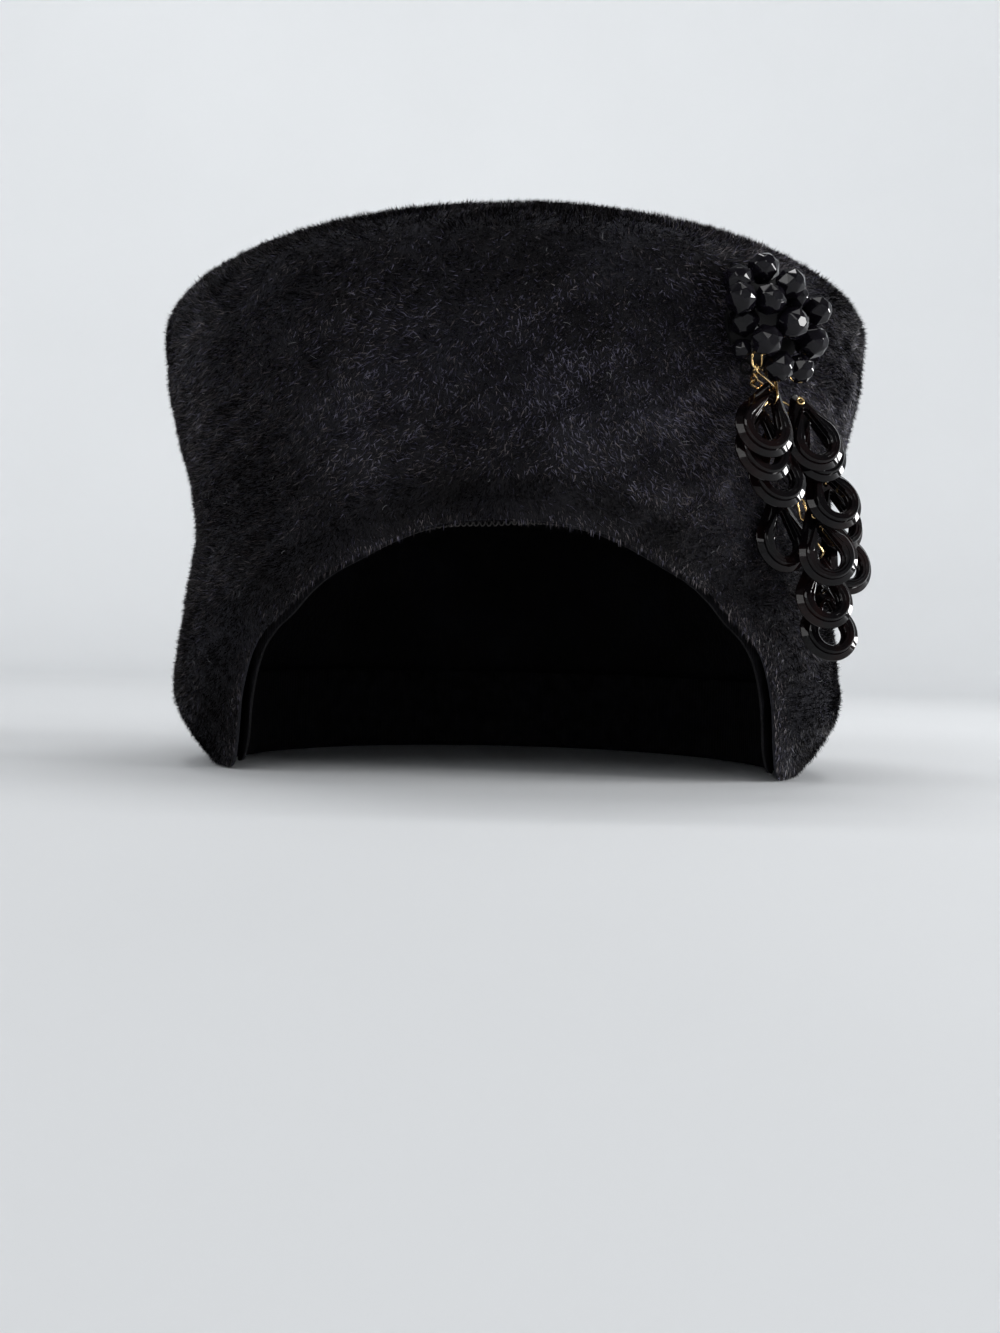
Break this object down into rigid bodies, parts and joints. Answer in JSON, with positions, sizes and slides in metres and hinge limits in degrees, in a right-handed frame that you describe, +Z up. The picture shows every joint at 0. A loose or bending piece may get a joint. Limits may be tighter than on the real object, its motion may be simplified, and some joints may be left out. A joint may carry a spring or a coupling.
{
  "type": "pillbox hat",
  "caption": "Tall black velour felt pillbox hat, drawn in at the waist and cut to an arch over the face, with a cluster brooch of faceted beads and hanging teardrop rings.",
  "frame": {"origin": "on the resting surface, below the middle of the crown", "axes": "+Z up; the arched front faces -Y; +X is the side with the brooch, the wearer's left"},
  "size_m": [0.1888, 0.2186, 0.14],
  "materials": {
    "black_felt": "brushed velour nap",
    "black_ribbon": "ribbed ribbon, matt",
    "blackened_metal": "black lacquered plate and stalks",
    "jet_glass": "opaque black faceted glass, polished",
    "gloss_black": "moulded, polished, faintly red-brown where thin",
    "gold_wire": "polished gold plate"
  },
  "bodies": {
    "root": {"felt_body": "black_felt", "sweatband": "black_ribbon", "brooch_base": "blackened_metal", "bead_01": "jet_glass", "bead_02": "jet_glass", "bead_03": "jet_glass", "bead_04": "jet_glass", "bead_05": "jet_glass", "bead_06": "jet_glass", "bead_07": "jet_glass", "bead_08": "jet_glass", "bead_09": "jet_glass", "bead_10": "jet_glass", "bead_11": "jet_glass", "bead_12": "jet_glass", "bead_13": "jet_glass", "bead_14": "jet_glass", "drop_01": "gloss_black", "drop_02": "gloss_black", "drop_03": "gloss_black", "drop_04": "gloss_black", "drop_05": "gloss_black", "drop_06": "gloss_black", "drop_07": "gloss_black", "drop_08": "gloss_black", "drop_09": "gloss_black", "drop_10": "gloss_black", "drop_11": "gloss_black", "drop_12": "gloss_black", "chain": "gold_wire"}
  },
  "joints": []
}
